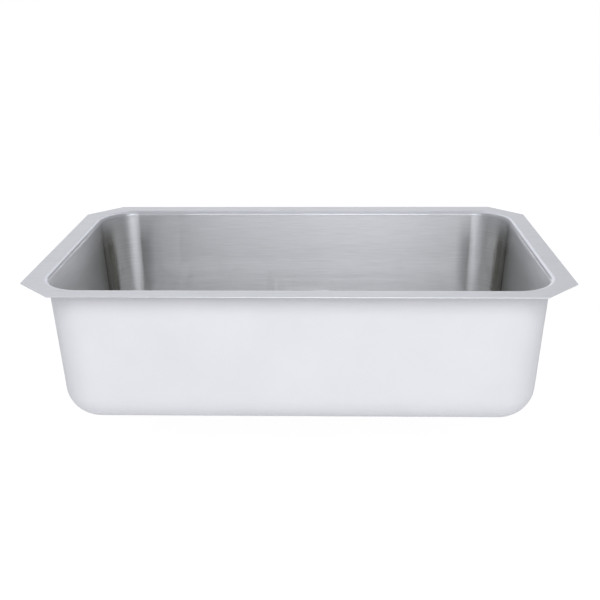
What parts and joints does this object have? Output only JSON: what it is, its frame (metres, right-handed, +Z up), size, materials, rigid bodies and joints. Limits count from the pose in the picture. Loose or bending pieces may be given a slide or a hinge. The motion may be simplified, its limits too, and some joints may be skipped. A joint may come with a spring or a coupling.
{
  "type": "undermount kitchen sink",
  "caption": "Undermount single-bowl steel kitchen sink with a flat cut-corner flange, sprayed underside, rear basket strainer and lift-out wire grid.",
  "frame": {"origin": "middle of the flange's flat top plane, which meets the underside of the counter", "axes": "+X along the sink's length, +Y to the rear wall, +Z up to the counter"},
  "size_m": [0.762, 0.4572, 0.2992],
  "materials": {
    "satin_steel": "fine horizontal satin brushing",
    "polished_steel": "polished stainless steel",
    "wire_steel": "electropolished wire",
    "sprayed_coat": "sprayed sound coat, pale blue grey, fine grain",
    "pad_rubber": "matte rubber sheet",
    "seal_rubber": "moulded rubber",
    "fibre": "pressed fibre",
    "zinc_nut": "cast zinc, plated",
    "foot_rubber": "soft moulded rubber",
    "white_washer": "moulded polythene"
  },
  "bodies": {
    "sink": {"sink_bowl": "satin_steel", "sound_coat": "sprayed_coat", "sound_pad_left": "pad_rubber", "sound_pad_right": "pad_rubber", "sound_pad_front": "pad_rubber", "strainer_body": "polished_steel", "flange_gasket": "seal_rubber", "rubber_washer": "seal_rubber", "friction_ring": "fibre", "lock_nut": "zinc_nut", "coupling_nut": "zinc_nut", "tail_washer": "white_washer"},
    "basket": {"basket_post": "polished_steel", "detent_ring": "seal_rubber", "basket_stopper": "seal_rubber", "backing_washer": "polished_steel", "post_clip": "polished_steel", "basket_knob": "polished_steel"},
    "basket_sieve": {"basket_cup": "polished_steel"},
    "grid": {"grid_frame": "wire_steel", "grid_wires": "wire_steel", "grid_rails": "wire_steel", "drain_ring": "wire_steel", "grid_legs": "wire_steel", "grid_feet": "foot_rubber", "bumper_studs": "wire_steel", "grid_bumpers": "foot_rubber"}
  },
  "joints": [
    {"name": "basket_lift", "type": "slide", "parent": "sink", "child": "basket", "axis": [0, 0, 1], "range_m": [0, 0.36]},
    {"name": "basket_swivel", "type": "hinge", "parent": "basket", "child": "basket_sieve", "pos_m": [0, 0.0762, -0.2215], "axis": [0, 0, 1], "continuous": true},
    {"name": "grid_lift", "type": "slide", "parent": "sink", "child": "grid", "axis": [0, 0, 1], "range_m": [0, 0.26]}
  ]
}
